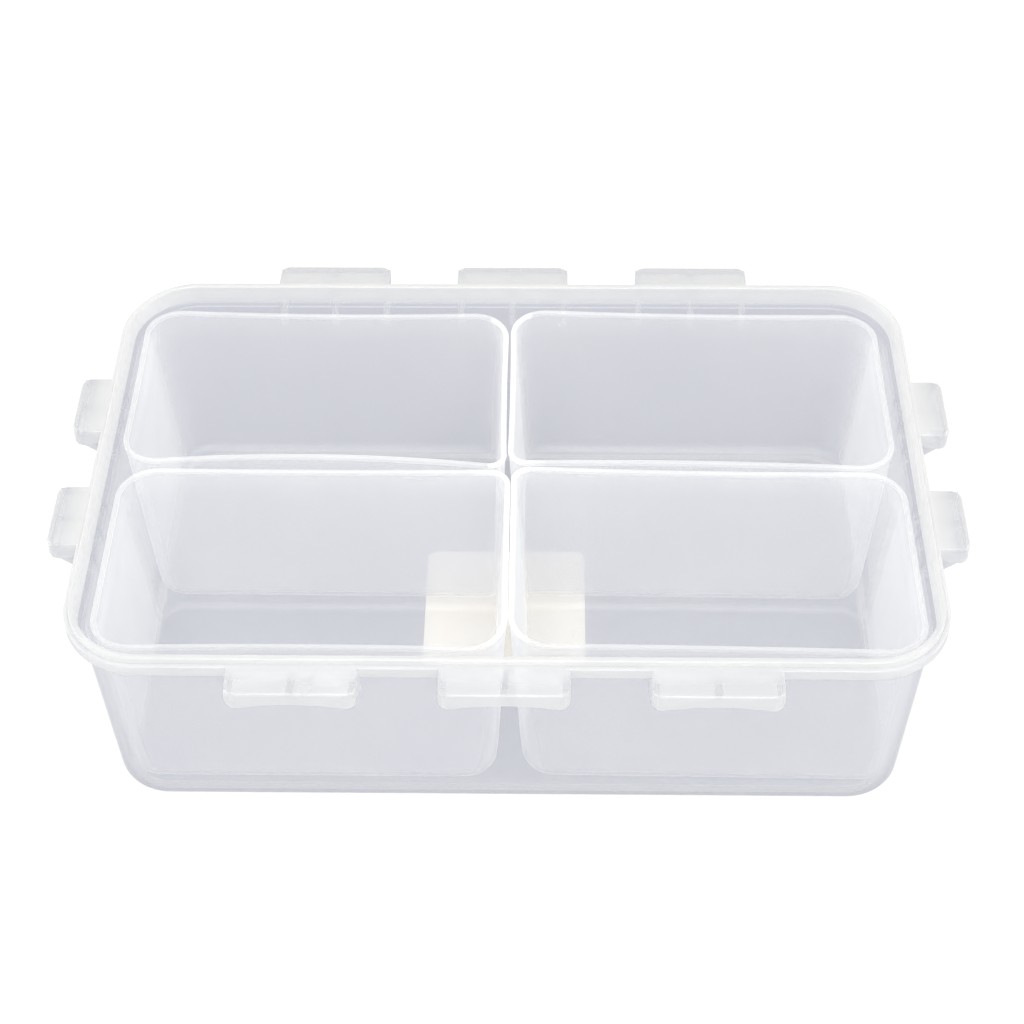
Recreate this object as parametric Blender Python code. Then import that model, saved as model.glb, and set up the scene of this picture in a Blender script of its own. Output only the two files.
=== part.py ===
"""Parts sorting tray: a clear moulded box with a snap-lid rim, four loose bins and a label under its base.

The origin is the centre of the face the tray stands on. +X runs along the long side, +Y to the back, +Z up.
"""

import math

import bmesh
import bpy

MM = 0.001

# Outer tray. An inset is a distance inwards from the outer edge of the rim lip.
TRAY_LENGTH = 250 * MM
TRAY_DEPTH = 160 * MM
TRAY_HEIGHT = 72 * MM
TRAY_CORNER = 23.2 * MM
TRAY_WALL = 1.2 * MM
BASE_INSET = 6.4 * MM
WALL_TOP_INSET = 4.1 * MM

# The tray stands on a ring round a slightly raised base panel.
FOOT_EDGE = 2.5 * MM
FOOT_WIDTH = 2.6 * MM
PANEL_LIFT = 1.2 * MM
PANEL_SLOPE = 0.6 * MM
FLOOR_TOP = 2.8 * MM
FLOOR_FILLET = 1.6 * MM

# The rim: an inner ledge, an upstanding ridge for the lid, and a lip round the outside of the ridge.
LEDGE_TOP = 65.2 * MM
LEDGE_THICKNESS = 1.2 * MM
RIDGE_INSET = 1.45 * MM
RIDGE_WIDTH = 2.0 * MM
LIP_TOP = 70.2 * MM
LIP_BOTTOM = 66.2 * MM
EDGE_BREAK = 0.4 * MM

# Catch tabs for the lid, three on each long side and two on each short side.
TAB_REACH = 9.1 * MM
TAB_DROP = 6.2 * MM
TAB_PLATE = 1.6 * MM
TAB_LIP = 1.6 * MM
TAB_ARCH = 1.6 * MM
TAB_CORNER = 3.0 * MM
TAB_RIB = 2.4 * MM
TAB_ROOT = 2.2 * MM
RIB_FOOT = 56.0 * MM
LONG_TAB_WIDTH = 36.2 * MM
LONG_TAB_PITCH = 58.5 * MM
SHORT_TAB_WIDTH = 23.4 * MM
SHORT_TAB_PITCH = 46.5 * MM

# Lift-out bins.
BIN_LENGTH = 118.3 * MM
BIN_DEPTH = 70.6 * MM
BIN_HEIGHT = 63.6 * MM
BIN_CORNER = 12.0 * MM
BIN_WALL = 1.1 * MM
BIN_BEAD = 2.2 * MM
BIN_DRAFT_LONG = 3.4 * MM
BIN_DRAFT_SHORT = 0.8 * MM
BIN_FILLET = 2.0 * MM
BIN_BOW = 1.4 * MM
BIN_GAP = 0.3 * MM
BIN_LIFT = FLOOR_TOP + 0.3 * MM
# Each row of bins has slid a little along the tray in its loose fit.
FRONT_ROW_SHIFT = 0.6 * MM
BACK_ROW_SHIFT = -0.6 * MM

# Paper label stuck under the raised base panel.
LABEL_SIZE = (52 * MM, 49 * MM)
LABEL_CORNER = 3 * MM
LABEL_BOTTOM = 0.6 * MM
LABEL_THICKNESS = 0.3 * MM
LABEL_OFFSET = -1.8 * MM

CORNER_STEPS = 8
BIN_CORNER_STEPS = 5
BIN_SIDE_STEPS = 6

PLASTIC_COLOUR = (0.90, 0.93, 0.95, 1.0)
BIN_COLOUR = (0.93, 0.95, 0.97, 1.0)
PAPER_COLOUR = (0.90, 0.80, 0.64, 1.0)


def clear_scene():
    for item in list(bpy.data.objects):
        bpy.data.objects.remove(item)


def new_collection(name):
    group = bpy.data.collections.new(name)
    bpy.context.scene.collection.children.link(group)
    return group


def new_material(name, colour, roughness, transmission):
    material = bpy.data.materials.new(name)
    material.use_nodes = True
    shader = material.node_tree.nodes["Principled BSDF"]
    shader.inputs["Base Color"].default_value = colour
    shader.inputs["Roughness"].default_value = roughness
    shader.inputs["Metallic"].default_value = 0.0
    shader.inputs["Transmission Weight"].default_value = transmission
    return material


def new_object(name, mesh, group, material=None):
    item = bpy.data.objects.new(name, mesh)
    group.objects.link(item)
    if material and not mesh.materials:
        mesh.materials.append(material)
    return item


def hide_as_cutter(item):
    item.hide_render = True
    item.display_type = "WIRE"


def arc(centre, radius, start, end, steps):
    """Points on an arc in a flat plane, from the start angle to the end angle in degrees."""
    points = []
    for step in range(steps + 1):
        angle = math.radians(start + (end - start) * step / steps)
        points.append((centre[0] + radius * math.cos(angle), centre[1] + radius * math.sin(angle)))
    return points


def rounded_outline(half_x, half_y, radius, corner_steps, side_steps=1, bow=0.0):
    """Points round a rounded rectangle, anticlockwise. The long sides bow inwards by bow at mid length."""
    straight = half_x - radius
    points = []
    for sign_x, sign_y, start in ((1, -1, -90), (1, 1, 0), (-1, 1, 90), (-1, -1, 180)):
        centre = (sign_x * straight, sign_y * (half_y - radius))
        points += arc(centre, radius, start, start + 90, corner_steps)
        if sign_x == sign_y:
            for step in range(1, side_steps):
                along = 1 - 2 * step / side_steps
                points.append((sign_x * straight * along, sign_y * (half_y - bow * (1 - along * along))))
    return points


def loft(name, rings):
    """A closed body through rings of equal length: each ring is (outline, height), and both ends are capped."""
    mesh = bpy.data.meshes.new(name)
    shape = bmesh.new()
    loops = [[shape.verts.new((x, y, height)) for x, y in outline] for outline, height in rings]
    for lower, upper in zip(loops, loops[1:]):
        for here in range(len(lower)):
            after = (here + 1) % len(lower)
            shape.faces.new((lower[here], lower[after], upper[after], upper[here]))
    shape.faces.new(reversed(loops[0]))
    shape.faces.new(loops[-1])
    bmesh.ops.recalc_face_normals(shape, faces=shape.faces)
    shape.to_mesh(mesh)
    shape.free()
    mesh.shade_smooth()
    mesh.set_sharp_from_angle(angle=math.radians(35))
    return mesh


def block(name, low, high, rounded_edges=None, radius=0.0):
    """A box between two corners. Edges that rounded_edges picks are rounded to the given radius."""
    mesh = bpy.data.meshes.new(name)
    shape = bmesh.new()
    bmesh.ops.create_cube(shape, size=1)
    for vertex in shape.verts:
        vertex.co = [low[i] + (high[i] - low[i]) * (vertex.co[i] + 0.5) for i in range(3)]
    if rounded_edges:
        picked = [edge for edge in shape.edges if rounded_edges(edge)]
        bmesh.ops.bevel(shape, geom=picked, offset=radius, segments=4, profile=0.5, affect="EDGES")
    shape.to_mesh(mesh)
    shape.free()
    return mesh


def prism(name, outline, to_point, low, high):
    """A flat outline extruded from low to high. to_point(a, b, c) places outline point (a, b) at depth c."""
    mesh = bpy.data.meshes.new(name)
    shape = bmesh.new()
    face = shape.faces.new([shape.verts.new(to_point(a, b, low)) for a, b in outline])
    grown = bmesh.ops.extrude_face_region(shape, geom=[face])["geom"]
    moved = [item for item in grown if isinstance(item, bmesh.types.BMVert)]
    start, end = to_point(0, 0, low), to_point(0, 0, high)
    bmesh.ops.translate(shape, verts=moved, vec=[end[i] - start[i] for i in range(3)])
    bmesh.ops.recalc_face_normals(shape, faces=shape.faces)
    shape.to_mesh(mesh)
    shape.free()
    return mesh


def add_boolean(target, operation, operand):
    """Joins an object, or everything in a collection, to the target, or cuts it away."""
    modifier = target.modifiers.new(f"{operation.lower()}_{operand.name}", "BOOLEAN")
    modifier.operation = operation
    modifier.solver = "EXACT"
    if isinstance(operand, bpy.types.Collection):
        modifier.operand_type = "COLLECTION"
        modifier.collection = operand
    else:
        modifier.object = operand


def tray_profile():
    """(inset, height) pairs from the base panel, up the outside, over the rim and down to the floor."""
    foot_inner = BASE_INSET + FOOT_EDGE + FOOT_WIDTH
    wall_inner = BASE_INSET + TRAY_WALL
    ledge_under = LEDGE_TOP - LEDGE_THICKNESS
    ledge_inner = WALL_TOP_INSET + TRAY_WALL
    ridge_inner = RIDGE_INSET + RIDGE_WIDTH
    profile = [(foot_inner + PANEL_SLOPE, PANEL_LIFT), (foot_inner, 0)]
    profile += arc((BASE_INSET + FOOT_EDGE, FOOT_EDGE), FOOT_EDGE, 270, 180, 4)
    profile += [(WALL_TOP_INSET, ledge_under), (RIDGE_INSET, ledge_under + EDGE_BREAK)]
    profile += [(RIDGE_INSET, LIP_BOTTOM), (EDGE_BREAK, LIP_BOTTOM), (0, LIP_BOTTOM + EDGE_BREAK)]
    profile += [(0, LIP_TOP - EDGE_BREAK), (EDGE_BREAK, LIP_TOP), (RIDGE_INSET, LIP_TOP)]
    profile += arc((RIDGE_INSET + EDGE_BREAK, TRAY_HEIGHT - EDGE_BREAK), EDGE_BREAK, 180, 90, 2)
    profile += arc((ridge_inner - EDGE_BREAK, TRAY_HEIGHT - EDGE_BREAK), EDGE_BREAK, 90, 0, 2)
    profile += [(ridge_inner, LEDGE_TOP + EDGE_BREAK), (ridge_inner + EDGE_BREAK, LEDGE_TOP)]
    profile += [(ledge_inner - EDGE_BREAK, LEDGE_TOP), (ledge_inner, LEDGE_TOP - EDGE_BREAK)]
    profile += arc((wall_inner + FLOOR_FILLET, FLOOR_TOP + FLOOR_FILLET), FLOOR_FILLET, 180, 270, 3)
    return profile


def tray_shell_mesh():
    rings = []
    for inset, height in tray_profile():
        half_x, half_y = TRAY_LENGTH / 2 - inset, TRAY_DEPTH / 2 - inset
        rings.append((rounded_outline(half_x, half_y, TRAY_CORNER - inset, CORNER_STEPS), height))
    return loft("outer_tray", rings)


def rib_outline():
    """Side view of a tab's rib: (reach, height) points from the tab plate down to the tray wall."""
    root = -(WALL_TOP_INSET + TRAY_WALL / 2)
    ridge = -TAB_ROOT
    tip = TAB_REACH - TAB_LIP / 2
    plate_middle = LIP_TOP - TAB_PLATE / 2
    ledge_middle = LEDGE_TOP - LEDGE_THICKNESS / 2
    upper = [(root, ledge_middle), (ridge, ledge_middle), (ridge, plate_middle), (tip, plate_middle)]
    return upper + [(tip, LIP_TOP - TAB_DROP + 1.3 * TAB_ARCH), (root + TRAY_WALL / 2, RIB_FOOT), (root, RIB_FOOT)]


def arch_outline(half_width):
    """Front view of the shallow arch along the lower edge of a tab's lip."""
    half_arch = half_width - TAB_CORNER
    radius = (half_arch**2 + TAB_ARCH**2) / (2 * TAB_ARCH)
    spread = math.degrees(math.asin(half_arch / radius))
    bottom = LIP_TOP - TAB_DROP
    crown = arc((0, bottom + TAB_ARCH - radius), radius, 90 - spread, 90 + spread, 8)
    return crown + [(-half_arch, bottom - TAB_ARCH), (half_arch, bottom - TAB_ARCH)]


def tab_mesh(width, cutters):
    """A catch tab at the origin, reaching out along +Y from the outer edge of the rim lip."""
    half = width / 2
    bottom = LIP_TOP - TAB_DROP
    top = LIP_TOP - 0.05 * MM

    def outer_vertical(edge):
        ends = [vertex.co for vertex in edge.verts]
        return all(end.y > TAB_REACH / 2 for end in ends) and abs(ends[0].z - ends[1].z) > TAB_DROP / 2

    body_mesh = block("tab_body", (-half, -TAB_ROOT, bottom), (half, TAB_REACH, top), outer_vertical, TAB_CORNER)
    body = new_object(f"tab_body_{round(width / MM)}", body_mesh, cutters)
    for side, low, high in (("left", TAB_RIB - half, -TAB_RIB / 2), ("right", TAB_RIB / 2, half - TAB_RIB)):
        low_corner = (low, -2 * TAB_ROOT, bottom - TAB_DROP)
        pocket = block("tab_pocket", low_corner, (high, TAB_REACH - TAB_LIP, LIP_TOP - TAB_PLATE))
        add_boolean(body, "DIFFERENCE", new_object(f"{body.name}_pocket_{side}", pocket, cutters))
    arch = prism("tab_arch", arch_outline(half), lambda x, z, y: (x, y, z), TAB_REACH / 2, TAB_REACH * 2)
    add_boolean(body, "DIFFERENCE", new_object(f"{body.name}_arch", arch, cutters))
    rib_half = TAB_RIB / 2 - 0.1 * MM
    for number, middle in enumerate((TAB_RIB / 2 - half, 0, half - TAB_RIB / 2)):
        rib = prism("tab_rib", rib_outline(), lambda y, z, x: (x, y, z), middle - rib_half, middle + rib_half)
        add_boolean(body, "UNION", new_object(f"{body.name}_rib_{number}", rib, cutters))
    for item in cutters.objects:
        hide_as_cutter(item)
    bpy.context.view_layer.update()
    depsgraph = bpy.context.evaluated_depsgraph_get()
    return bpy.data.meshes.new_from_object(body.evaluated_get(depsgraph))


def tab_places():
    """(x, y, turn in degrees, is long) of each catch tab."""
    places = []
    for turn, side in ((0, 1), (180, -1)):
        for step in (-1, 0, 1):
            places.append((step * LONG_TAB_PITCH, side * TRAY_DEPTH / 2, turn, True))
    for turn, side in ((-90, 1), (90, -1)):
        for step in (-0.5, 0.5):
            places.append((side * TRAY_LENGTH / 2, step * SHORT_TAB_PITCH, turn, False))
    return places


def build_tray(group, cutters, material):
    tabs = bpy.data.collections.new("catch_tabs")
    cutters.children.link(tabs)
    long_tab = tab_mesh(LONG_TAB_WIDTH, cutters)
    short_tab = tab_mesh(SHORT_TAB_WIDTH, cutters)
    for number, (x, y, turn, is_long) in enumerate(tab_places()):
        tab = new_object(f"catch_tab_{number}", long_tab if is_long else short_tab, tabs)
        tab.location = (x, y, 0)
        tab.rotation_euler = (0, 0, math.radians(turn))
        hide_as_cutter(tab)
    tray = new_object("outer_tray", tray_shell_mesh(), group, material)
    add_boolean(tray, "UNION", tabs)
    return tray


def bin_rows():
    """(inset along the length, inset along the depth, height) from a bin's base, over its bead, to its floor."""
    bead = BIN_BEAD / 2
    outer_top = bead - BIN_WALL / 2
    bead_height = BIN_HEIGHT - bead
    rows = [(BIN_FILLET * (1 - math.sin(a)), BIN_FILLET * (1 - math.cos(a))) for a in quarter_turn(0, 90, 3)]
    rows = [(outer_top + BIN_DRAFT_LONG + i, outer_top + BIN_DRAFT_SHORT + i, z) for i, z in rows]
    for inset, height in arc((bead, bead_height), bead, 232, -52, 8):
        rows.append((inset, inset, height))
    inner_top = outer_top + BIN_WALL
    fillet = BIN_FILLET - BIN_WALL
    inside = [(fillet * (1 - math.sin(a)), BIN_WALL + fillet * (1 - math.cos(a))) for a in quarter_turn(90, 0, 3)]
    return rows + [(inner_top + BIN_DRAFT_LONG + i, inner_top + BIN_DRAFT_SHORT + i, z) for i, z in inside]


def quarter_turn(start, end, steps):
    return [math.radians(start + (end - start) * step / steps) for step in range(steps + 1)]


def bin_mesh():
    rings = []
    for inset_x, inset_y, height in bin_rows():
        radius = BIN_CORNER - (inset_x + inset_y) / 2
        bow = BIN_BOW * (height / BIN_HEIGHT) ** 2
        half_x, half_y = BIN_LENGTH / 2 - inset_x, BIN_DEPTH / 2 - inset_y
        rings.append((rounded_outline(half_x, half_y, radius, BIN_CORNER_STEPS, BIN_SIDE_STEPS, bow), height))
    return loft("bin", rings)


def build_bins(group, material):
    mesh = bin_mesh()
    across, along = (BIN_LENGTH + BIN_GAP) / 2, (BIN_DEPTH + BIN_GAP) / 2
    rows = (("front", -1, FRONT_ROW_SHIFT), ("back", 1, BACK_ROW_SHIFT))
    for row, side_y, shift in rows:
        for column, side_x in (("left", -1), ("right", 1)):
            tub = new_object(f"bin_{row}_{column}", mesh, group, material)
            tub.location = (side_x * across + shift, side_y * along, BIN_LIFT)


def build_label(group, material):
    outline = rounded_outline(LABEL_SIZE[0] / 2, LABEL_SIZE[1] / 2, LABEL_CORNER, 4)
    mesh = loft("base_label", [(outline, 0), (outline, LABEL_THICKNESS)])
    label = new_object("base_label", mesh, group, material)
    label.location = (LABEL_OFFSET, 0, LABEL_BOTTOM)


def build():
    clear_scene()
    group = new_collection("parts_sorting_tray")
    cutters = new_collection("cutters")
    build_tray(group, cutters, new_material("tray_plastic", PLASTIC_COLOUR, 0.3, 0.8))
    build_bins(group, new_material("bin_plastic", BIN_COLOUR, 0.3, 0.8))
    build_label(group, new_material("label_paper", PAPER_COLOUR, 0.85, 0.0))


build()
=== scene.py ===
"""Looks for the parts sorting tray: fine moulded shells, milky polypropylene, a soft white studio."""

import math

import bmesh
import bpy
from mathutils import Matrix, Vector


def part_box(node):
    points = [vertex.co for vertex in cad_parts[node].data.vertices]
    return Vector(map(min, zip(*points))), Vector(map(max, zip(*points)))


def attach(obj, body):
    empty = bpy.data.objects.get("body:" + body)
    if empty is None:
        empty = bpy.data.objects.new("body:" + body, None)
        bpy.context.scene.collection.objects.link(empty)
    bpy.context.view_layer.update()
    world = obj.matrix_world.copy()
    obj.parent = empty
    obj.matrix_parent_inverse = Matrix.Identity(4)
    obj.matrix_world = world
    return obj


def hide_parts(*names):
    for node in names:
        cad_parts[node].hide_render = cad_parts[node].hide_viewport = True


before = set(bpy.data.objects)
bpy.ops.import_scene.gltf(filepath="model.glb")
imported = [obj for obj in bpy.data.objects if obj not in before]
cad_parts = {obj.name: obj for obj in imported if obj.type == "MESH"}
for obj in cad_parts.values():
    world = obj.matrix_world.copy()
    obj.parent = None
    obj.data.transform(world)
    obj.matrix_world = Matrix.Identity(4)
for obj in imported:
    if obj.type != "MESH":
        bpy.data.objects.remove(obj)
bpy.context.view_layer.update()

MM = 0.001

# Outer tray. Insets run inwards from the outer edge of the rim lip, heights run up from the table.
TAB_REACH = 9.1 * MM
TRAY_CORNER = 23.2 * MM
TRAY_WALL = 1.2 * MM
BASE_INSET = 6.4 * MM
WALL_TOP_INSET = 4.1 * MM
FOOT_EDGE = 2.5 * MM
FOOT_WIDTH = 2.6 * MM
PANEL_LIFT = 1.2 * MM
FLOOR_TOP = 2.8 * MM
FLOOR_FILLET = 1.8 * MM
# The raised base panel starts this far in from the foot ring, whose inner face leans a little.
PANEL_START = 1.0 * MM
FOOT_LEAN = 0.2 * MM
LEDGE_TOP = 65.2 * MM
LEDGE_THICKNESS = 1.2 * MM
RIDGE_INSET = 1.45 * MM
RIDGE_WIDTH = 2.0 * MM
LIP_TOP = 70.2 * MM
LIP_BOTTOM = 66.2 * MM
# The ridge's outer face rises from a fine groove in the top of the lip, and leans a little. Under the lip is
# a small chamfer.
GROOVE = 0.35 * MM
RIDGE_LEAN = 0.05 * MM
LIP_CHAMFER = 0.2 * MM
# Roundings of the moulded edges.
FINE_ROUND = 0.4 * MM
LIP_ROUND = 0.5 * MM
RIM_ROUND = 0.6 * MM

# Catch tabs.
TAB_DROP = 6.2 * MM
TAB_PLATE = 1.6 * MM
TAB_LIP = 1.6 * MM
TAB_ARCH = 1.6 * MM
TAB_CORNER = 3.0 * MM
TAB_RIB = 2.2 * MM
TAB_ROOT = 2.2 * MM
TAB_ROUNDING = 0.8 * MM
# The tab plates lie this far below the lip's top, and the ribs are this much narrower on each side than the
# solid strips that they join, so that no two faces lie in one plane.
TAB_SINK = 0.05 * MM
RIB_SLIMMING = 0.1 * MM
RIB_FOOT = 56.0 * MM
# The height of a rib's tip above the lower edge of the tab's lip.
RIB_TIP = 1.3 * TAB_ARCH
LONG_TAB_WIDTH = 36.2 * MM
LONG_TAB_PITCH = 58.5 * MM
SHORT_TAB_WIDTH = 23.4 * MM
SHORT_TAB_PITCH = 46.5 * MM

# Small rings left by the mould: one on the front left catch tab, near its outer edge, and one inside the
# back right bin.
GATE_OFFSET = 4.3 * MM
GATE_RADIUS = 1.7 * MM
GATE_INSET = 1.3 * GATE_RADIUS
GATE_RAISE = 0.4 * MM
PIN_RADIUS = 1.0 * MM
PIN_RAISE = 0.3 * MM
PIN_BELOW_RIM = 5.0 * MM
PIN_FROM_END = 16.5 * MM

# Lift-out bins.
BIN_CORNER = 12.0 * MM
# The corner of each bin at the middle of the tray is tighter, so that the four meet closely.
BIN_MIDDLE_CORNER = 6.0 * MM
BIN_WALL = 1.1 * MM
# How much nearer each bin's inner end comes to its neighbour than the CAD bin does, and the power of the
# distance along the bin with which it does so.
SEAM_CLOSING = 0.12 * MM
SEAM_POWER = 6
BIN_BEAD = 1.6 * MM
# How far the ends and the sides lean in from the rim to the base.
BIN_DRAFT_LONG = 3.4 * MM
BIN_DRAFT_SHORT = 0.8 * MM
BIN_FILLET = 3.0 * MM
# How far the thin walls of each bin bow inwards at the rim: back, front and the two ends. Below the rim the
# bow fades with this power of the height.
BOW_POWER = 1.5
BIN_BOWS = {
    "bin_back_left": (1.6 * MM, 3.6 * MM, 0.45 * MM),
    "bin_back_right": (1.2 * MM, 1.2 * MM, 0.45 * MM),
    "bin_front_left": (0.5 * MM, 0.8 * MM, 0.05 * MM),
    "bin_front_right": (1.0 * MM, 0.4 * MM, 0.05 * MM),
}
# The bins are loose, so three of them sit a little askew: how far back the left and the right end of the
# rim has gone.
BIN_SKEWS = {
    "bin_back_left": (1.1 * MM, 0),
    "bin_back_right": (1.9 * MM, -0.3 * MM),
    "bin_front_left": (0, 0),
    "bin_front_right": (1.6 * MM, -0.3 * MM),
}
# The share of that skew at the bin's base.
SKEW_AT_BASE = 0.6

LABEL_CORNER = 3.0 * MM
LABEL_EDGE = 0.05 * MM

# How strongly a millimetre of each plastic scatters light, and the share of that light that carries on
# through the wall.
TRAY_MILK_PER_MM = 0.13
BIN_MILK_PER_MM = 0.19
TRAY_THROUGH = 0.5
BIN_THROUGH = 0.65
# Thicknesses in millimetres, as the light meets them: more than the section where it runs along inside the
# plastic.
WALL_MILK = 1.2
LEDGE_MILK = 0.6
RIM_MILK = 7.0
SIDE_RIM_MILK = 11.0
RIB_MILK = 3.5
TAB_PLATE_MILK = 2.6
TAB_LIP_MILK = 7.0
BIN_WALL_MILK = 1.1
BIN_WALL_TOP_MILK = 1.8
BEAD_MILK = 3.4
SEAM_MILK = 7.0
# Where each of those begins or ends on the tray: this far outside the lip, below the lip's top, above the
# ledge, under the ledge, outside the wall and below the foot of the ribs.
TAB_BEGINS = 0.5 * MM
PLATE_BEGINS = 0.1 * MM
RIM_BEGINS = 0.5 * MM
LEDGE_ENDS = 0.7 * MM
RIB_BEGINS = 0.3 * MM
RIB_ENDS = 1.0 * MM
# On the bins: the depth below the bead over which the wall thins, the share of the bead's height that counts
# as bead, and how near the tray's middle line a bead has to be to meet another.
WALL_TOP_DEPTH = 10 * MM
BEAD_SHARE = 0.9
SEAM_REACH = 4 * BIN_BEAD
TRAY_MILK = (0.775, 0.777, 0.783, 1)
BIN_MILK = (0.95, 0.952, 0.955, 1)
WHITE = (1, 1, 1, 1)
CLEAR_TINT = (0.975, 0.977, 0.985, 1)
SHADOW_TINT = (0.975, 0.975, 0.98, 1)
TRAY_ROUGHNESS = 0.32
BIN_ROUGHNESS = 0.5
# The share mirrored head on, and the least cosine between the view and the surface, which keeps the path
# through the plastic finite at its edges.
MIRROR_HEAD_ON = 0.04
LEAST_FACING = 0.06
# Texture scales are in cycles per metre. The ranges are of noise, and of what it is stretched to.
CLOUD_SCALE = 28.0
CLOUD_NOISE = (0.3, 0.7)
CLOUD_RANGE = (0.88, 1.12)
SCUFF_TURN = (0.3, 0.2, 0.5)
SCUFF_SCALES = (30.0, 900.0, 260.0)
SCUFF_NOISE = (0.66, 0.78)
SCUFF_RANGE = (0.0, 0.12)
GRAIN_SCALE = 900.0
GRAIN_STRENGTH = 0.03
BUMP_DEPTH = 0.0001

# The label's paper.
PAPER_DARK = (0.97, 0.915, 0.83, 1)
PAPER_LIGHT = (1.0, 0.965, 0.9, 1)
PAPER_NOISE = (0.3, 0.7)
PAPER_ROUGHNESS = 0.85
FIBRE_SCALE = 700.0
FIBRE_STRENGTH = 0.3
BLOTCH_SCALE = 60.0

# The studio: a pale grey table that shows white where it is seen straight on, and soft light from low down.
# Seen through the plastic, the table is painted shade: dark grey with a blue-grey glow of its own, a painted
# shadow of the tray.
TABLE_SHADE_COLOUR = (0.12, 0.12, 0.14, 1)
TABLE_GLOW = 0.5
TABLE_SEEN_COLOUR = (0.35, 0.35, 0.35, 1)
TABLE_SHADE_GLOW_COLOUR = (0.895, 0.912, 1.0, 1)
TABLE_SHADE_GLOW = 0.45
TABLE_REACH = 3.0
MOTTLE_SCALE = 3.0
MOTTLE_NOISE = (0.3, 0.7)
MOTTLE_LIGHTER = 1.02
WORLD_COLOUR = (1.0, 0.993, 0.93, 1)
WORLD_STRENGTH = 0.9
SKY_SEEN = 0.8
KEY_PLACE = (0.1, -1.75, 0.8)
KEY_POWER = 16.5
KEY_COLOUR = (1.0, 1.0, 0.95)
HIGH_PLACE = (0.1, -1.2, 1.5)
HIGH_POWER = 18
FRONT_LIGHT_SIZE = (1.4, 1.0)
TOP_PLACE = (-0.2, 0.15, 1.6)
TOP_POWER = 7
SIDE_PLACE = (1.75, -0.1, 0.6)
SIDE_POWER = 11.5
SQUARE_LIGHT_SIZE = (1.0, 1.0)

# The camera's place in metres, its angles in degrees, and its sensor and lens in millimetres.
CAMERA_PLACE = (0.01035, -0.4211, 0.5039)
CAMERA_PITCH = 47.32
CAMERA_YAW = -1.30
CAMERA_ROLL = -0.67
SENSOR_WIDTH = 36
LENS = 70.6
# A line of sight through the bins and the tray crosses many clear faces.
CLEAR_FACES = 64

# The corners of a rectangle, anticlockwise from the front right.
CORNERS = ((1, -1), (1, 1), (-1, 1), (-1, -1))
# Two heights within this many metres are the same.
SAME_HEIGHT = 1e-6
# The fineness of the meshes: steps round a corner, along a long side, in a bevel and up a bin's wall, and
# the angles in degrees above which an edge is shown sharp.
TRAY_CORNER_STEPS = 24
BIN_CORNER_STEPS = 14
LABEL_CORNER_STEPS = 10
SIDE_STEPS = 16
BEVEL_STEPS = 6
WALL_ROWS = 12
SHARP_ANGLE = 40
TRAY_SHARP_ANGLE = 35


# ---------------------------------------------------------------- shapes


def arc(centre, radius, start, end, steps):
    """Points on an arc in a flat plane, from the start angle to the end angle in degrees."""
    points = []
    for step in range(steps + 1):
        angle = math.radians(start + (end - start) * step / steps)
        points.append((centre[0] + radius * math.cos(angle), centre[1] + radius * math.sin(angle)))
    return points


def straight(start, end, steps):
    """Points between two ends, leaving out the start."""
    return [tuple(a + (b - a) * step / steps for a, b in zip(start, end)) for step in range(1, steps + 1)]


def rounded_outline(half_x, half_y, radii, corner_steps):
    """Points round a rounded rectangle, anticlockwise from its front right corner, with a radius for each."""
    points = []
    for number, (sign_x, sign_y) in enumerate(CORNERS):
        radius = radii[number]
        start = -90 + 90 * number
        centre = (sign_x * (half_x - radius), sign_y * (half_y - radius))
        points += arc(centre, radius, start, start + 90, corner_steps)
        after_x, after_y = CORNERS[(number + 1) % 4]
        after = radii[(number + 1) % 4]
        if number % 2:
            end, steps = (after_x * (half_x - after), points[-1][1]), SIDE_STEPS
        else:
            end, steps = (points[-1][0], after_y * (half_y - after)), SIDE_STEPS // 2
        points += straight(points[-1], end, steps)[:-1]
    return points


def mesh_from(shape, name):
    """Turns a bmesh into a smooth-shaded mesh, with its edges sharp where they turn far enough."""
    bmesh.ops.recalc_face_normals(shape, faces=shape.faces)
    mesh = bpy.data.meshes.new(name)
    shape.to_mesh(mesh)
    shape.free()
    mesh.shade_smooth()
    mesh.set_sharp_from_angle(angle=math.radians(SHARP_ANGLE))
    return mesh


def loft(name, rings):
    """A closed body through rings of points, with a flat cap at each end."""
    shape = bmesh.new()
    loops = [[shape.verts.new(point) for point in ring] for ring in rings]
    for lower, upper in zip(loops, loops[1:]):
        for here in range(len(lower)):
            after = (here + 1) % len(lower)
            shape.faces.new((lower[here], lower[after], upper[after], upper[here]))
    shape.faces.new(reversed(loops[0]))
    shape.faces.new(loops[-1])
    return mesh_from(shape, name)


def new_piece(name, data):
    """An object in the scene that holds a mesh, a light or a camera."""
    piece = bpy.data.objects.new(name, data)
    bpy.context.scene.collection.objects.link(piece)
    return piece


def box_mesh(name, low, high, picks=()):
    """A box between two corners. Each pick is (which edges, radius) and rounds those edges in turn."""
    shape = bmesh.new()
    bmesh.ops.create_cube(shape, size=1)
    for vertex in shape.verts:
        vertex.co = [low[i] + (high[i] - low[i]) * (vertex.co[i] + 0.5) for i in range(3)]
    for wanted, radius in picks:
        edges = [edge for edge in shape.edges if wanted(*[vertex.co for vertex in edge.verts])]
        bmesh.ops.bevel(
            shape, geom=edges, offset=radius, segments=BEVEL_STEPS, profile=0.5, affect="EDGES"
        )
    return mesh_from(shape, name)


def prism(name, outline, to_point, low, high):
    """A flat outline extruded from low to high. to_point(a, b, c) places outline point (a, b) at depth c."""
    shape = bmesh.new()
    face = shape.faces.new([shape.verts.new(to_point(a, b, low)) for a, b in outline])
    grown = bmesh.ops.extrude_face_region(shape, geom=[face])["geom"]
    moved = [item for item in grown if isinstance(item, bmesh.types.BMVert)]
    shift = Vector(to_point(0, 0, high)) - Vector(to_point(0, 0, low))
    bmesh.ops.translate(shape, verts=moved, vec=shift)
    return mesh_from(shape, name)


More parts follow.
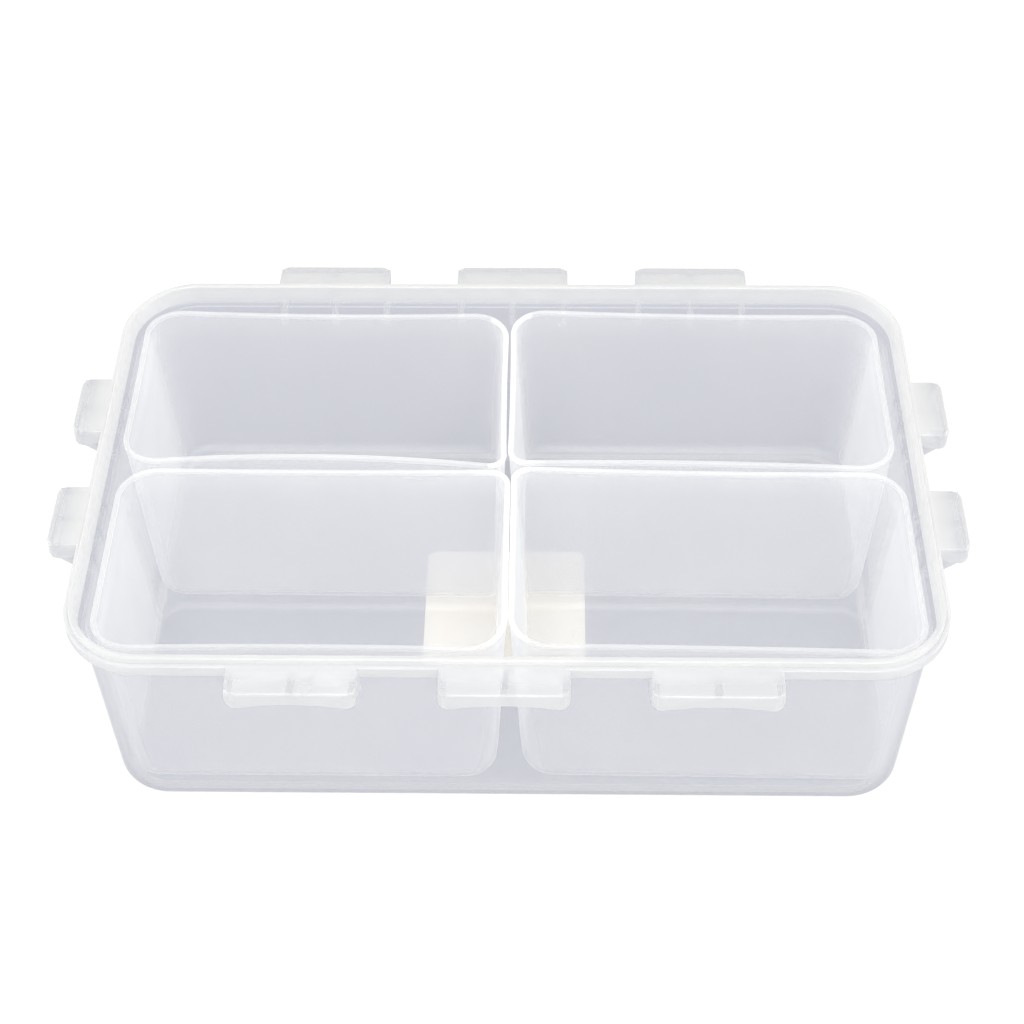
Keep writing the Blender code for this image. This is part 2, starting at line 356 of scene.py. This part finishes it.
def combine(piece, operation, others):
    """Joins the other objects to the piece, or cuts them away, and removes them."""
    for other in others:
        modifier = piece.modifiers.new(operation, "BOOLEAN")
        modifier.operation = operation
        modifier.solver = "EXACT"
        modifier.object = other
    bpy.context.view_layer.update()
    done = bpy.data.meshes.new_from_object(piece.evaluated_get(bpy.context.evaluated_depsgraph_get()))
    piece.modifiers.clear()
    piece.data = done
    for other in others:
        bpy.data.objects.remove(other)
    return piece


def pin_mark(piece, place, normal, radius, height):
    """Joins the small raised ring that an ejector pin or gate leaves on a moulding."""
    bpy.ops.mesh.primitive_torus_add(
        major_segments=28, minor_segments=10, major_radius=radius, minor_radius=height
    )
    ring = bpy.context.object
    turn = Vector(normal).to_track_quat("Z", "Y").to_matrix().to_4x4()
    ring.data.transform(Matrix.Translation(place) @ turn)
    return combine(piece, "UNION", [ring])


# ---------------------------------------------------------------- outer tray


def tray_profile():
    """(inset, height) from the base panel, up the outside, over the rim and down to the floor."""
    wall_inner = BASE_INSET + TRAY_WALL
    foot_inner = BASE_INSET + FOOT_EDGE + FOOT_WIDTH
    ledge_under = LEDGE_TOP - LEDGE_THICKNESS
    ledge_inner = WALL_TOP_INSET + TRAY_WALL
    ridge_inner = RIDGE_INSET + RIDGE_WIDTH
    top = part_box("outer_tray")[1].z
    profile = arc((foot_inner + PANEL_START, PANEL_LIFT - FINE_ROUND), FINE_ROUND, 90, 180, 4)
    profile += arc((foot_inner + FOOT_LEAN, FINE_ROUND), FINE_ROUND, 190, 270, 4)
    profile += arc((BASE_INSET + FOOT_EDGE, FOOT_EDGE), FOOT_EDGE, 270, 180, 8)
    profile += straight(profile[-1], (WALL_TOP_INSET, ledge_under - LIP_ROUND), 10)
    profile += arc((WALL_TOP_INSET - RIM_ROUND, ledge_under - RIM_ROUND), RIM_ROUND, 0, 90, 4)
    profile += arc((RIDGE_INSET + LIP_ROUND, ledge_under + LIP_ROUND), LIP_ROUND, 270, 180, 4)
    profile += [(RIDGE_INSET, LIP_BOTTOM - LIP_CHAMFER), (RIDGE_INSET - LIP_CHAMFER, LIP_BOTTOM)]
    profile += arc((RIM_ROUND, LIP_BOTTOM + RIM_ROUND), RIM_ROUND, 270, 180, 4)
    profile += arc((LIP_ROUND, LIP_TOP - LIP_ROUND), LIP_ROUND, 180, 90, 4)
    profile += [(RIDGE_INSET - GROOVE, LIP_TOP), (RIDGE_INSET - GROOVE / 2, LIP_TOP - GROOVE)]
    profile += [(RIDGE_INSET, LIP_TOP - GROOVE), (RIDGE_INSET + RIDGE_LEAN, LIP_TOP + FINE_ROUND)]
    profile += arc((RIDGE_INSET + RIDGE_LEAN + RIM_ROUND, top - RIM_ROUND), RIM_ROUND, 180, 90, 5)
    profile += arc((ridge_inner - RIM_ROUND, top - RIM_ROUND), RIM_ROUND, 90, 0, 5)
    profile += straight(profile[-1], (ridge_inner, LEDGE_TOP + RIM_ROUND), 3)
    profile += arc((ridge_inner + RIM_ROUND, LEDGE_TOP + RIM_ROUND), RIM_ROUND, 200, 270, 4)
    profile += arc((ledge_inner - FINE_ROUND, LEDGE_TOP - FINE_ROUND), FINE_ROUND, 90, 0, 4)
    profile += straight(profile[-1], (wall_inner, FLOOR_TOP + FLOOR_FILLET), 10)[:-1]
    profile += arc((wall_inner + FLOOR_FILLET, FLOOR_TOP + FLOOR_FILLET), FLOOR_FILLET, 180, 270, 8)
    return profile


def tray_shell(half_x, half_y):
    """The tray without its tabs: its profile carried round the rounded outline."""
    rings = []
    for inset, height in tray_profile():
        radii = [TRAY_CORNER - inset] * 4
        outline = rounded_outline(half_x - inset, half_y - inset, radii, TRAY_CORNER_STEPS)
        rings.append([(x, y, height) for x, y in outline])
    return loft("tray_shell", rings)


def rib_outline():
    """Side view of a tab's rib: (reach, height) points from the tab plate down to the tray wall."""
    root = -(WALL_TOP_INSET + TRAY_WALL / 2)
    tip = TAB_REACH - TAB_LIP / 2
    plate_middle = LIP_TOP - TAB_PLATE / 2
    ledge_middle = LEDGE_TOP - LEDGE_THICKNESS / 2
    upper = [(root, ledge_middle), (-TAB_ROOT, ledge_middle), (-TAB_ROOT, plate_middle), (tip, plate_middle)]
    lower = [(tip, LIP_TOP - TAB_DROP + RIB_TIP), (root + TRAY_WALL / 2, RIB_FOOT), (root, RIB_FOOT)]
    return upper + lower


def arch_outline(half_width):
    """Front view of the shallow arch along the lower edge of a tab's lip."""
    half_arch = half_width - TAB_CORNER
    radius = (half_arch**2 + TAB_ARCH**2) / (2 * TAB_ARCH)
    spread = math.degrees(math.asin(half_arch / radius))
    bottom = LIP_TOP - TAB_DROP
    crown = arc((0, bottom + TAB_ARCH - radius), radius, 90 - spread, 90 + spread, 24)
    return crown + [(-half_arch, bottom - TAB_ARCH), (half_arch, bottom - TAB_ARCH)]


def tab_piece(width):
    """A catch tab at the origin, reaching out along +Y from the outer edge of the rim lip."""
    half = width / 2
    bottom = LIP_TOP - TAB_DROP
    top = LIP_TOP - TAB_SINK

    def outer_vertical(a, b):
        return min(a.y, b.y) > TAB_REACH / 2 and abs(a.z - b.z) > TAB_DROP / 2

    def top_rim(a, b):
        return min(a.z, b.z) > top - SAME_HEIGHT and max(a.y, b.y) > 0

    picks = ((outer_vertical, TAB_CORNER), (top_rim, TAB_ROUNDING))
    tab = new_piece("tab", box_mesh("tab", (-half, -TAB_ROOT, bottom), (half, TAB_REACH, top), picks))
    cutters = []
    for low, high in ((TAB_RIB - half, -TAB_RIB / 2), (TAB_RIB / 2, half - TAB_RIB)):
        low_corner = (low, -2 * TAB_ROOT, bottom - TAB_DROP)
        high_corner = (high, TAB_REACH - TAB_LIP, LIP_TOP - TAB_PLATE)
        cutters.append(new_piece("pocket", box_mesh("pocket", low_corner, high_corner)))
    arch = prism("arch", arch_outline(half), lambda x, z, y: (x, y, z), TAB_REACH / 2, TAB_REACH * 2)
    cutters.append(new_piece("arch", arch))
    combine(tab, "DIFFERENCE", cutters)
    ribs = []
    spread = TAB_RIB / 2 - RIB_SLIMMING
    for middle in (TAB_RIB / 2 - half, 0, half - TAB_RIB / 2):
        rib = prism("rib", rib_outline(), lambda y, z, x: (x, y, z), middle - spread, middle + spread)
        ribs.append(new_piece("rib", rib))
    return combine(tab, "UNION", ribs)


def tab_places(half_x, half_y):
    """(place, turn in degrees, is long) of each catch tab."""
    places = []
    for turn, side in ((0, 1), (180, -1)):
        for step in (-1, 0, 1):
            places.append((Vector((step * LONG_TAB_PITCH, side * half_y, 0)), turn, True))
    for turn, side in ((-90, 1), (90, -1)):
        for step in (-0.5, 0.5):
            places.append((Vector((side * half_x, step * SHORT_TAB_PITCH, 0)), turn, False))
    return places


def build_tray(material):
    """The tray in one piece: shell, ten catch tabs and the gate's ring."""
    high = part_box("outer_tray")[1]
    half_x, half_y = high.x - TAB_REACH, high.y - TAB_REACH
    long_tab, short_tab = tab_piece(LONG_TAB_WIDTH), tab_piece(SHORT_TAB_WIDTH)
    tabs = []
    for place, turn, is_long in tab_places(half_x, half_y):
        mesh = (long_tab if is_long else short_tab).data.copy()
        mesh.transform(Matrix.Translation(place) @ Matrix.Rotation(math.radians(turn), 4, "Z"))
        tabs.append(new_piece("catch_tab", mesh))
    bpy.data.objects.remove(long_tab)
    bpy.data.objects.remove(short_tab)
    tray = combine(new_piece("tray_body", tray_shell(half_x, half_y)), "UNION", tabs)
    gate = (-LONG_TAB_PITCH + GATE_OFFSET, -half_y - TAB_REACH + GATE_INSET, LIP_TOP)
    tray = pin_mark(tray, gate, (0, 0, 1), GATE_RADIUS, GATE_RAISE)
    tray.data.shade_smooth()
    tray.data.set_sharp_from_angle(angle=math.radians(TRAY_SHARP_ANGLE))
    set_thickness(tray.data, lambda point: tray_thickness(point, half_x, half_y))
    tray.data.materials.clear()
    tray.data.materials.append(material)
    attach(tray, "tray")
    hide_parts("outer_tray")


def tray_thickness(point, half_x, half_y):
    """Millimetres of plastic at a point of the tray: tab plates and lips, rim, ledge, ribs or wall."""
    inset = -max(abs(point.x) - half_x, abs(point.y) - half_y)
    if inset < -TAB_BEGINS:
        under_plate = inset > TAB_LIP - TAB_REACH and point.z > LIP_TOP - 2 * TAB_PLATE
        return TAB_PLATE_MILK if point.z > LIP_TOP - PLATE_BEGINS or under_plate else TAB_LIP_MILK
    if point.z > LEDGE_TOP + RIM_BEGINS:
        round_corner = min(max((abs(point.x) - half_x) / TRAY_CORNER + 1, 0), 1)
        return RIM_MILK + (SIDE_RIM_MILK - RIM_MILK) * round_corner
    if point.z > LEDGE_TOP - LEDGE_THICKNESS - LEDGE_ENDS:
        return LEDGE_MILK
    wall = WALL_TOP_INSET + (BASE_INSET - WALL_TOP_INSET) * (1 - point.z / LEDGE_TOP)
    return RIB_MILK if inset < wall - RIB_BEGINS and point.z > RIB_FOOT - RIB_ENDS else WALL_MILK


def set_thickness(mesh, thickness):
    """Stores the thickness of the plastic, in millimetres, on each vertex for the material to read."""
    layer = mesh.attributes.get("thickness") or mesh.attributes.new("thickness", "FLOAT", "POINT")
    for vertex in mesh.vertices:
        layer.data[vertex.index].value = thickness(vertex.co)


# ---------------------------------------------------------------- bins


def bin_rows(height):
    """(inset along the length, inset along the depth, height) up the outside, over the bead, to the floor."""
    bead = BIN_BEAD / 2
    outer_top = bead - BIN_WALL / 2
    inner_top = outer_top + BIN_WALL

    def wall(offset, level):
        """A row of the tapered wall. offset is its inset at the rim."""
        share = 1 - level / height
        return offset + BIN_DRAFT_LONG * share, offset + BIN_DRAFT_SHORT * share, level

    rows = []
    for inset, level in arc((BIN_FILLET, BIN_FILLET), BIN_FILLET, 270, 180, 8):
        rows.append((outer_top + BIN_DRAFT_LONG + inset, outer_top + BIN_DRAFT_SHORT + inset, level))
    start, end = BIN_FILLET, height - BIN_BEAD
    rows += [wall(outer_top, start + (end - start) * step / WALL_ROWS) for step in range(1, WALL_ROWS + 1)]
    for inset, level in arc((bead, height - bead), bead, 225, -45, 18):
        rows.append((inset, inset, level))
    floor_fillet = BIN_FILLET - BIN_WALL
    start, end = height - BIN_BEAD, BIN_FILLET
    rows += [wall(inner_top, start + (end - start) * step / WALL_ROWS) for step in range(WALL_ROWS)]
    for inset, level in arc((floor_fillet, BIN_FILLET), floor_fillet, 180, 270, 8):
        rows.append((inner_top + BIN_DRAFT_LONG + inset, inner_top + BIN_DRAFT_SHORT + inset, level))
    return rows


def pincushion(x, y, half_x, half_y, bows):
    """Pulls a point on a rounded rectangle inwards where the sides bow."""
    back, front, ends = bows
    pull_y = (back if y > 0 else front) * (1 - (x / half_x) ** 2)
    pull_x = ends * (1 - (y / half_y) ** 2)
    return x - math.copysign(pull_x, x), y - math.copysign(pull_y, y)


def bin_corners(centre):
    """A bin's corner radii, in the order of CORNERS. The one nearest the tray's middle is tighter."""
    return [BIN_MIDDLE_CORNER if x * centre.x < 0 and y * centre.y < 0 else BIN_CORNER for x, y in CORNERS]


def bin_skew(name, along, up):
    """How far back a bin's skew carries a point.

    along is -1 at the bin's left end and 1 at its right end. up is 0 at its base and 1 at its rim.
    """
    left, right = BIN_SKEWS[name]
    return (left + (right - left) * (along + 1) / 2) * (SKEW_AT_BASE + (1 - SKEW_AT_BASE) * up)


def bin_mesh(name, bows):
    """A bin in its CAD node's box, bowed, skewed and closed up against its neighbour."""
    low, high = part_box(name)
    centre, half = (low + high) / 2, (high - low) / 2
    corners = bin_corners(centre)
    rings = []
    for inset_x, inset_y, level in bin_rows(high.z - low.z):
        up = level / (high.z - low.z)
        row_bows = [bow * up**BOW_POWER for bow in bows]
        row_x, row_y = half.x - inset_x, half.y - inset_y
        radii = [radius - (inset_x + inset_y) / 2 for radius in corners]
        outline = rounded_outline(row_x, row_y, radii, BIN_CORNER_STEPS)
        ring = [pincushion(x, y, row_x, row_y, row_bows) for x, y in outline]
        inwards = -math.copysign(1, centre.x)
        ring = [(x + inwards * SEAM_CLOSING * max(inwards * x / row_x, 0) ** SEAM_POWER, y) for x, y in ring]
        ring = [(x, y + bin_skew(name, x / half.x, up)) for x, y in ring]
        rings.append([(centre.x + x, centre.y + y, low.z + level) for x, y in ring])
    mesh = loft(name, rings)
    set_bin_thickness(mesh, name)
    return mesh


def set_bin_thickness(mesh, name):
    """The bead is thicker than the wall below it, and whitest where two bins' ends meet."""
    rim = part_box(name)[1].z - BIN_BEAD * BEAD_SHARE

    def thickness(point):
        if point.z < rim:
            near_rim = max(0, 1 - (rim - point.z) / WALL_TOP_DEPTH)
            return BIN_WALL_MILK + (BIN_WALL_TOP_MILK - BIN_WALL_MILK) * near_rim
        return SEAM_MILK if abs(point.x) < SEAM_REACH else BEAD_MILK

    set_thickness(mesh, thickness)


def add_pin_mark(tub, name):
    """The ring high on the inner back face of one bin, where the wall has bowed in from the straight."""
    low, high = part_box(name)
    back, _, _ = BIN_BOWS[name]
    level = high.z - PIN_BELOW_RIM
    along = 1 - 2 * PIN_FROM_END / (high.x - low.x)
    up = 1 - PIN_BELOW_RIM / (high.z - low.z)
    face = high.y - (BIN_BEAD + BIN_WALL) / 2 - back * up**BOW_POWER * (1 - along * along)
    face += bin_skew(name, -along, up)
    return pin_mark(tub, (low.x + PIN_FROM_END, face, level), (0, -1, 0), PIN_RADIUS, PIN_RAISE)


def build_bins(material):
    """The four lift-out bins, each riding on its own body."""
    for name, bows in BIN_BOWS.items():
        tub = new_piece(name.replace("bin", "tub"), bin_mesh(name, bows))
        if name == "bin_back_right":
            add_pin_mark(tub, name)
            set_bin_thickness(tub.data, name)
        tub.data.materials.append(material)
        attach(tub, name)
        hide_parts(name)


# ---------------------------------------------------------------- label


def build_label(material):
    """A thin paper sheet with rounded corners and softened edges."""
    low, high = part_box("base_label")
    centre, half = (low + high) / 2, (high - low) / 2
    rows = [(LABEL_EDGE, low.z), (0, low.z + LABEL_EDGE), (0, high.z - LABEL_EDGE), (LABEL_EDGE, high.z)]
    rings = []
    for inset, level in rows:
        radii = [LABEL_CORNER - inset] * 4
        outline = rounded_outline(half.x - inset, half.y - inset, radii, LABEL_CORNER_STEPS)
        rings.append([(centre.x + x, centre.y + y, level) for x, y in outline])
    label = new_piece("label_sheet", loft("label_sheet", rings))
    label.data.materials.append(material)
    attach(label, "tray")
    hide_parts("base_label")


# ---------------------------------------------------------------- materials


class Nodes:
    """Short helpers for building a material's nodes."""

    def __init__(self, name):
        self.material = bpy.data.materials.new(name)
        self.material.use_nodes = True
        self.tree = self.material.node_tree
        self.tree.nodes.clear()

    def add(self, kind, inputs=None, **settings):
        """Adds a node, with its settings and its inputs by name or number, and gives the node."""
        node = self.tree.nodes.new("ShaderNode" + kind)
        for key, value in settings.items():
            setattr(node, key, value)
        for key, value in (inputs or {}).items():
            if isinstance(value, bpy.types.NodeSocket):
                self.tree.links.new(value, node.inputs[key])
            else:
                node.inputs[key].default_value = value
        return node

    def math(self, operation, first, second=0.0):
        """The result of a Math node."""
        return self.add("Math", {0: first, 1: second}, operation=operation).outputs[0]

    def mix_colour(self, share, first, second):
        """Two colours mixed, with this share of the second. The Mix node's colours are its inputs 6 and 7."""
        mixed = self.add("Mix", {"Factor": share, 6: first, 7: second}, data_type="RGBA")
        return mixed.outputs[2]

    def mix(self, share, first, second):
        """Two shaders mixed, with this share of the second."""
        return self.add("MixShader", {0: share, 1: first, 2: second}).outputs[0]

    def noise(self, vector, scale, detail):
        """The value of a noise texture."""
        return self.add("TexNoise", {"Vector": vector, "Scale": scale, "Detail": detail}).outputs["Fac"]

    def bump(self, height, strength):
        """A surface normal tilted by fine relief."""
        relief = {"Height": height, "Strength": strength, "Distance": BUMP_DEPTH}
        return self.add("Bump", relief).outputs["Normal"]

    def noise_range(self, vector, scale, detail, low_high, to_low_high):
        """Noise, with one range of its values stretched to another."""
        noise = self.noise(vector, scale, detail)
        stretch = {"Value": noise, "From Min": low_high[0], "From Max": low_high[1]}
        stretch.update({"To Min": to_low_high[0], "To Max": to_low_high[1]})
        return self.add("MapRange", stretch).outputs[0]

    def finish(self, shader):
        """Sends the shader to the material's output, and gives the material."""
        self.add("OutputMaterial", {"Surface": shader})
        return self.material


def plastic(name, milk_colour, milk_per_mm, through, roughness):
    """Natural polypropylene: clear with a tint, milky where light goes far inside it, and softly shiny."""
    nodes = Nodes(name)
    geometry = nodes.add("NewGeometry")
    coords = nodes.add("TexCoord").outputs["Object"]
    facing = nodes.add("VectorMath", {0: geometry.outputs["Normal"], 1: geometry.outputs["Incoming"]},
                       operation="DOT_PRODUCT").outputs["Value"]
    facing = nodes.math("MAXIMUM", nodes.math("ABSOLUTE", facing), LEAST_FACING)

    # Milkiness from the length of the light's path through half the wall, with soft mould clouds and scuffs.
    # It is half because a line of sight meets the face on each side of the wall.
    clouds = nodes.noise_range(coords, CLOUD_SCALE, 3.0, CLOUD_NOISE, CLOUD_RANGE)
    streaks = nodes.add("Mapping", {"Vector": coords, "Rotation": SCUFF_TURN, "Scale": SCUFF_SCALES})
    scuffs = nodes.noise_range(streaks.outputs[0], 1.0, 2.0, SCUFF_NOISE, SCUFF_RANGE)
    cloudy = nodes.math("ADD", clouds, scuffs)
    thickness = nodes.add("Attribute", attribute_name="thickness").outputs["Fac"]
    milkiness = nodes.math("MULTIPLY", nodes.math("MULTIPLY", thickness, milk_per_mm / 2), cloudy)
    path = nodes.math("DIVIDE", milkiness, facing)
    clear = nodes.math("POWER", math.e, nodes.math("MULTIPLY", path, -1.0))

    # A satin skin with the fine grain of the mould's polish.
    bump = nodes.bump(nodes.noise(coords, GRAIN_SCALE, 2.0), GRAIN_STRENGTH)

    milk = nodes.mix(through, nodes.add("BsdfDiffuse", {"Color": milk_colour}).outputs[0],
                     nodes.add("BsdfTranslucent", {"Color": milk_colour}).outputs[0])
    in_shadow = nodes.add("LightPath").outputs["Is Shadow Ray"]
    tint = nodes.mix_colour(in_shadow, CLEAR_TINT, SHADOW_TINT)
    body = nodes.mix(clear, milk, nodes.add("BsdfTransparent", {"Color": tint}).outputs[0])

    # Shine by Schlick's rule, the same from either side of the thin wall.
    edge_on = nodes.math("POWER", nodes.math("SUBTRACT", 1.0, facing), 5.0)
    mirror = nodes.math("ADD", nodes.math("MULTIPLY", edge_on, 1 - MIRROR_HEAD_ON), MIRROR_HEAD_ON)
    shine = nodes.add("BsdfGlossy", {"Color": WHITE, "Roughness": roughness, "Normal": bump}).outputs[0]
    return nodes.finish(nodes.mix(mirror, body, shine))


def paper(name):
    """Uncoated cream paper with a faint fibre."""
    nodes = Nodes(name)
    coords = nodes.add("TexCoord").outputs["Object"]
    fibre = nodes.noise(coords, FIBRE_SCALE, 5.0)
    blotch = nodes.noise(coords, BLOTCH_SCALE, 2.0)
    shade = nodes.math("ADD", nodes.math("MULTIPLY", fibre, 0.5), nodes.math("MULTIPLY", blotch, 0.5))
    ramp = nodes.add("ValToRGB", {"Fac": shade})
    for stop, place, colour in zip(ramp.color_ramp.elements, PAPER_NOISE, (PAPER_DARK, PAPER_LIGHT)):
        stop.position = place
        stop.color = colour
    bump = nodes.bump(fibre, FIBRE_STRENGTH)
    look = {"Base Color": ramp.outputs["Color"], "Roughness": PAPER_ROUGHNESS, "Normal": bump}
    return nodes.finish(nodes.add("BsdfPrincipled", look).outputs[0])


def table_with_painted_shade(name):
    """A pale sheet, painted grey with a blue-grey glow through the plastic, as the tray's shadow. Where the
    camera sees it straight on, it glows to white.
    """
    nodes = Nodes(name)
    coords = nodes.add("TexCoord").outputs["Object"]
    light = nodes.add("LightPath")
    mottle = nodes.noise_range(coords, MOTTLE_SCALE, 2.0, MOTTLE_NOISE, (0.0, 1.0))
    lighter = tuple(channel * MOTTLE_LIGHTER for channel in TABLE_SHADE_COLOUR[:3]) + (1,)
    # Painted shade: through the plastic the table is this dark grey plus a blue-grey glow, a painted shadow
    # of the tray.
    shade_grey = nodes.mix_colour(mottle, TABLE_SHADE_COLOUR, lighter)
    sheet = nodes.add("BsdfDiffuse", {"Color": shade_grey}).outputs[0]
    shade_glow = nodes.add("Emission", {"Color": TABLE_SHADE_GLOW_COLOUR, "Strength": TABLE_SHADE_GLOW}).outputs[0]
    sheet = nodes.add("AddShader", {0: sheet, 1: shade_glow}).outputs[0]
    white = nodes.add("BsdfDiffuse", {"Color": TABLE_SEEN_COLOUR}).outputs[0]
    glow = nodes.add("Emission", {"Strength": TABLE_GLOW}).outputs[0]
    seen = nodes.add("AddShader", {0: white, 1: glow}).outputs[0]
    uncovered = nodes.math("LESS_THAN", light.outputs["Transparent Depth"], 0.5)
    straight_on = nodes.math("MULTIPLY", light.outputs["Is Camera Ray"], uncovered)
    return nodes.finish(nodes.mix(straight_on, sheet, seen))


# ---------------------------------------------------------------- studio


def add_area(name, place, size, power, colour=(1, 1, 1)):
    """A soft rectangular light, aimed at the tray."""
    light = bpy.data.lights.new(name, "AREA")
    light.shape = "RECTANGLE"
    light.size, light.size_y = size
    light.energy = power
    light.color = colour
    lamp = new_piece(name, light)
    lamp.location = place
    lamp.rotation_euler = (-Vector(place)).to_track_quat("-Z", "Y").to_euler()


def build_studio():
    """A plain table, with painted shade where seen through the plastic, in front of a plain backdrop, lit
    softly from the front, the top and both sides.
    """
    world = bpy.data.worlds.new("studio")
    bpy.context.scene.world = world
    world.use_nodes = True
    tree = world.node_tree
    lighting = tree.nodes["Background"]
    lighting.inputs["Color"].default_value = WORLD_COLOUR
    lighting.inputs["Strength"].default_value = WORLD_STRENGTH
    # The backdrop looks plain pale grey, whatever light it gives.
    backdrop = tree.nodes.new("ShaderNodeBackground")
    backdrop.inputs["Color"].default_value = WHITE
    backdrop.inputs["Strength"].default_value = SKY_SEEN
    mix = tree.nodes.new("ShaderNodeMixShader")
    tree.links.new(tree.nodes.new("ShaderNodeLightPath").outputs["Is Camera Ray"], mix.inputs[0])
    tree.links.new(lighting.outputs[0], mix.inputs[1])
    tree.links.new(backdrop.outputs[0], mix.inputs[2])
    tree.links.new(mix.outputs[0], tree.nodes["World Output"].inputs["Surface"])
    add_area("key", KEY_PLACE, FRONT_LIGHT_SIZE, KEY_POWER, KEY_COLOUR)
    add_area("high", HIGH_PLACE, FRONT_LIGHT_SIZE, HIGH_POWER, KEY_COLOUR)
    add_area("top", TOP_PLACE, SQUARE_LIGHT_SIZE, TOP_POWER)
    for name, side in (("left", -1), ("right", 1)):
        add_area(f"side_{name}", (side * SIDE_PLACE[0], *SIDE_PLACE[1:]), SQUARE_LIGHT_SIZE, SIDE_POWER)

    shape = bmesh.new()
    bmesh.ops.create_grid(shape, x_segments=8, y_segments=8, size=TABLE_REACH)
    floor = new_piece("table", mesh_from(shape, "table"))
    floor.data.materials.append(table_with_painted_shade("table_with_painted_shade"))


def build_camera():
    """A long lens from the front, looking down on the tray."""
    pitch, yaw, roll = math.radians(CAMERA_PITCH), math.radians(CAMERA_YAW), math.radians(CAMERA_ROLL)
    forward = Vector((math.sin(yaw) * math.cos(pitch), math.cos(yaw) * math.cos(pitch), -math.sin(pitch)))
    right = Vector((math.cos(yaw), -math.sin(yaw), 0))
    up = right.cross(forward)
    turned_right = right * math.cos(roll) + up * math.sin(roll)
    turned_up = up * math.cos(roll) - right * math.sin(roll)
    data = bpy.data.cameras.new("camera")
    data.sensor_width = SENSOR_WIDTH
    data.lens = LENS
    camera = new_piece("camera", data)
    turn = Matrix((turned_right, turned_up, -forward)).transposed()
    camera.matrix_world = Matrix.Translation(CAMERA_PLACE) @ turn.to_4x4()
    bpy.context.scene.camera = camera


def main():
    """Builds the pieces with their materials, then the studio and the camera."""
    build_tray(plastic("tray_plastic_look", TRAY_MILK, TRAY_MILK_PER_MM, TRAY_THROUGH, TRAY_ROUGHNESS))
    build_bins(plastic("bin_plastic_look", BIN_MILK, BIN_MILK_PER_MM, BIN_THROUGH, BIN_ROUGHNESS))
    build_label(paper("label_paper_look"))
    build_studio()
    build_camera()
    scene = bpy.context.scene
    scene.view_settings.view_transform = "Standard"
    scene.cycles.transparent_max_bounces = CLEAR_FACES


main()
